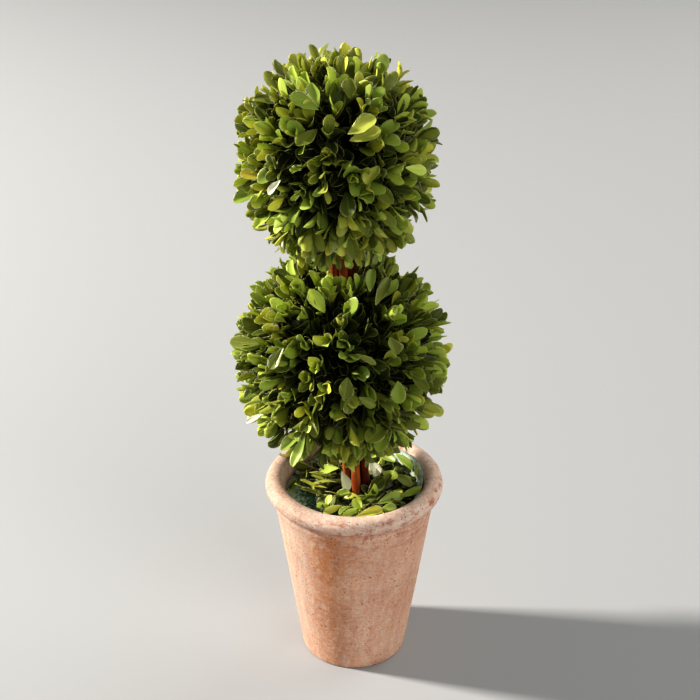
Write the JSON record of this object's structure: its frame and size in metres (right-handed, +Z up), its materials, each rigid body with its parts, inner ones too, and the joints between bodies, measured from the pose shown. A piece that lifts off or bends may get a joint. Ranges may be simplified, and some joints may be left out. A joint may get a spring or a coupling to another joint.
{
  "type": "potted double ball boxwood topiary",
  "caption": "Preserved boxwood topiary: clipped balls of sprigs one above the other on a leaning bundle of sticks, standing in foam in a rolled-rim terracotta pot.",
  "frame": {"origin": "centre of the pot's flat underside, which stands on the ground", "axes": "+Z up; +Y away from the viewer of the front; +X to the viewer's right; the sticks lean towards -X"},
  "size_m": [0.1712, 0.1691, 0.5105],
  "materials": {
    "terracotta": "aged unglazed clay, chalky cream bloom over rust-coloured stains",
    "floral_foam": "rough dark teal-green foam",
    "dry_leaves": "satin yellow-green leaves lying loose",
    "bark": "smooth reddish-brown bark with a dull shine",
    "boxwood_leaves": "satin olive-green leaves with paler margins"
  },
  "bodies": {
    "root": {"pot": "terracotta", "foam_plug": "floral_foam", "loose_leaves": "dry_leaves", "stick_front": "bark", "stick_right": "bark", "stick_back": "bark", "stick_left": "bark", "ball_lower": "boxwood_leaves", "ball_upper": "boxwood_leaves"}
  },
  "joints": []
}
